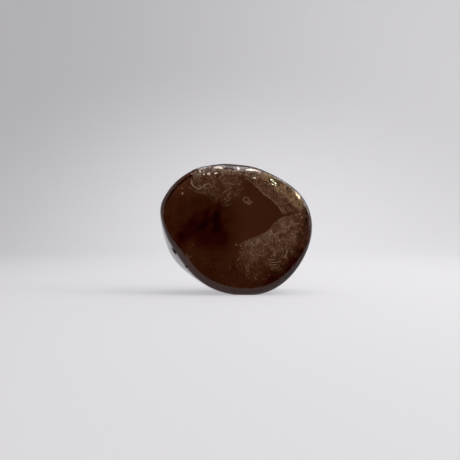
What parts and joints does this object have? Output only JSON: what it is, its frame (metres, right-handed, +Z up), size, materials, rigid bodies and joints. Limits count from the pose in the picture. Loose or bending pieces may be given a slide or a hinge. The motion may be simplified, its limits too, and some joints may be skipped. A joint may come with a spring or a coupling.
{
  "type": "polished dravite tourmaline slice",
  "caption": "Polished slice of brown dravite tourmaline with a rounded three-sided outline, standing on a small flat ground on its rim.",
  "frame": {"origin": "on the surface that the stone stands on, below the middle of its box", "axes": "+Z up, +Y from the polished front face through the stone to its back face, +X to the right as seen from the front"},
  "size_m": [0.0212, 0.0096, 0.0182],
  "materials": {
    "dravite": "polished, see-through dark red-brown"
  },
  "bodies": {
    "root": {"crystal": "dravite"}
  },
  "joints": []
}
